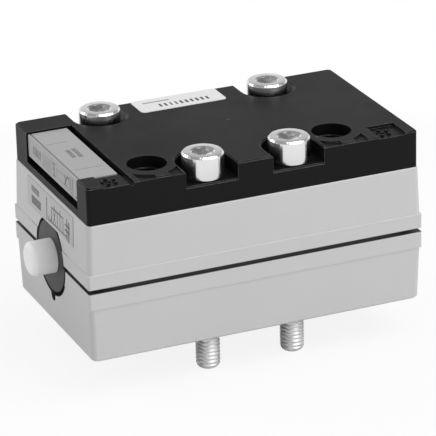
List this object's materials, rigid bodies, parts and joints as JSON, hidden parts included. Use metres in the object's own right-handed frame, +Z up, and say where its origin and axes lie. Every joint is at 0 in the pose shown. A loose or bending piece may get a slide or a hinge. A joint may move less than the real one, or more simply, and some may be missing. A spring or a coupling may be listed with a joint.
{
  "type": "directional control valve",
  "caption": "Air-piloted spool valve in a split grey housing with a black cover, a white hand button at one end and long screws for a base plate.",
  "frame": {"origin": "centre of the flat base face", "axes": "+X along the spool, away from the hand button; +Y across, from the front long side to the back; +Z up, away from the base plate"},
  "size_m": [0.0748, 0.041, 0.045],
  "materials": {
    "housing": "light grey moulded plastic, satin",
    "cover": "black moulded plastic, fine grain",
    "carrier": "grey plastic, satin",
    "sticker": "white film, semi-gloss",
    "end_sticker": "pale grey film, semi-gloss",
    "bright_steel": "bright zinc plated",
    "dark_steel": "blackened",
    "spring_steel": "drawn wire",
    "sleeve_metal": "turned",
    "spool_metal": "turned and hard coated",
    "seal": "black nitrile, matt",
    "plug": "dark grey moulded plastic",
    "button": "white moulded plastic, smooth"
  },
  "bodies": {
    "valve_body": {"lower_housing": "housing", "upper_housing": "housing", "housing_seal": "seal", "base_seal": "seal", "cover": "cover", "label_insert": "carrier", "top_label": "sticker", "end_label": "end_sticker", "mounting_screws": "bright_steel", "tie_screws": "dark_steel", "sleeve": "sleeve_metal", "sleeve_seals": "seal", "return_spring": "spring_steel", "blind_plug": "plug", "blind_plug_seal": "seal", "end_plug": "plug", "end_plug_seal": "seal", "button_seal": "seal", "button_spring": "spring_steel"},
    "button": {"override_button": "button", "button_clip": "spring_steel"},
    "spool": {"spool": "spool_metal", "spool_seals": "seal"}
  },
  "joints": [
    {"name": "button_slide", "type": "slide", "parent": "valve_body", "child": "button", "axis": [1, 0, 0], "range_m": [0, 0.0035], "stiffness_N_per_m": 400, "springref_m": -0.002, "deforming": ["button_spring"]},
    {"name": "spool_slide", "type": "slide", "parent": "valve_body", "child": "spool", "axis": [1, 0, 0], "range_m": [0, 0.0035], "stiffness_N_per_m": 800, "springref_m": -0.002, "deforming": ["return_spring"]}
  ],
  "couplings": [
    {"joint": "spool_slide", "follows": "button_slide", "ratio": 1}
  ]
}
